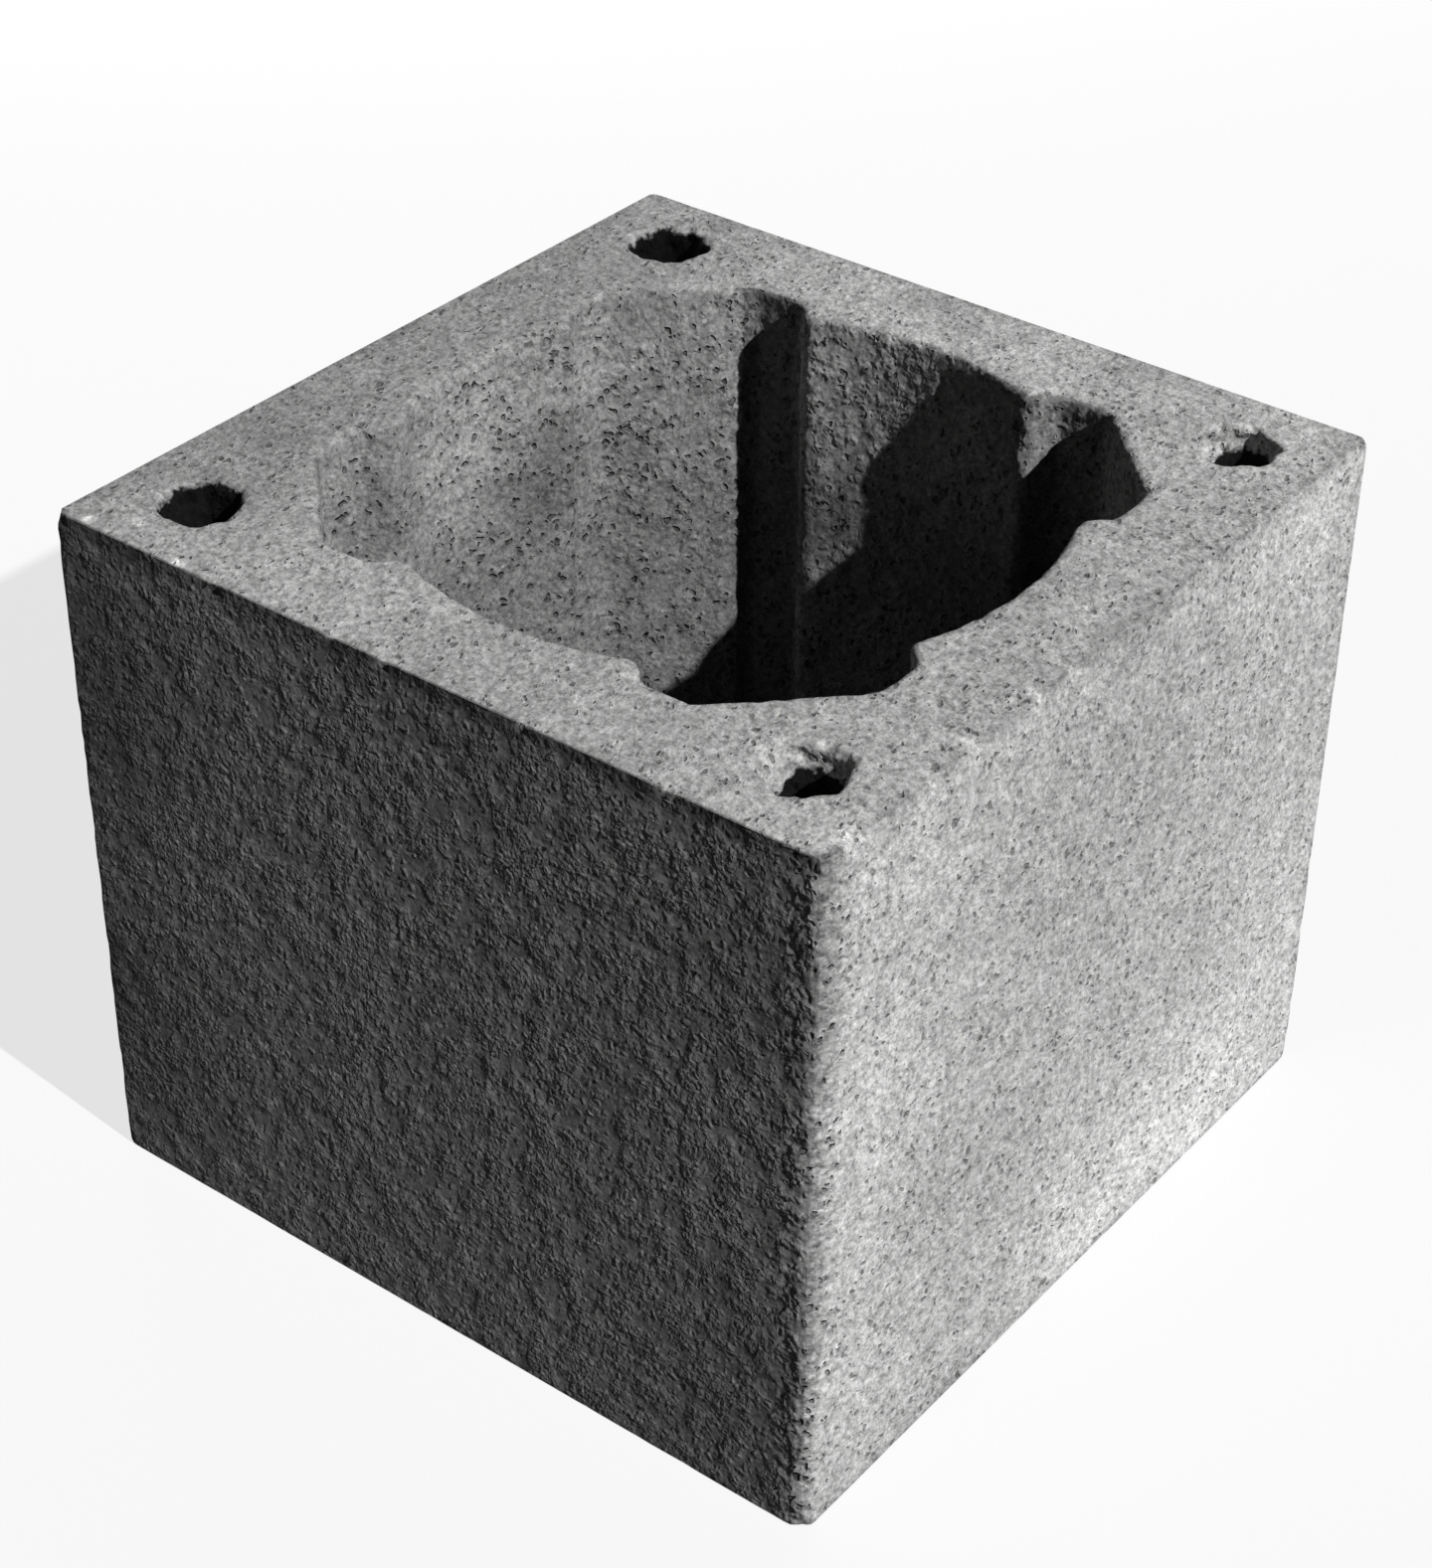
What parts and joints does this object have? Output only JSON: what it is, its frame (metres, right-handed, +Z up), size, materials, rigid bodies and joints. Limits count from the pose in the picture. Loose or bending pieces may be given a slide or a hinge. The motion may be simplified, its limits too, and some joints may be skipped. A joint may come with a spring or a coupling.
{
  "type": "chimney block",
  "caption": "Square lightweight concrete casing block for a chimney, with a round flue opening, a ventilation channel on each diagonal and a rod hole at each corner.",
  "frame": {"origin": "middle of the block's square outline on the lower bed face", "axes": "+Z up through the flue, +X and +Y square to the outer faces; the flue and rod holes stand 2 mm off the middle towards +Y"},
  "size_m": [0.38, 0.38, 0.33],
  "materials": {
    "lightweight_concrete": "open-textured, vibration-pressed lightweight concrete"
  },
  "bodies": {
    "root": {"casing_block": "lightweight_concrete"}
  },
  "joints": []
}
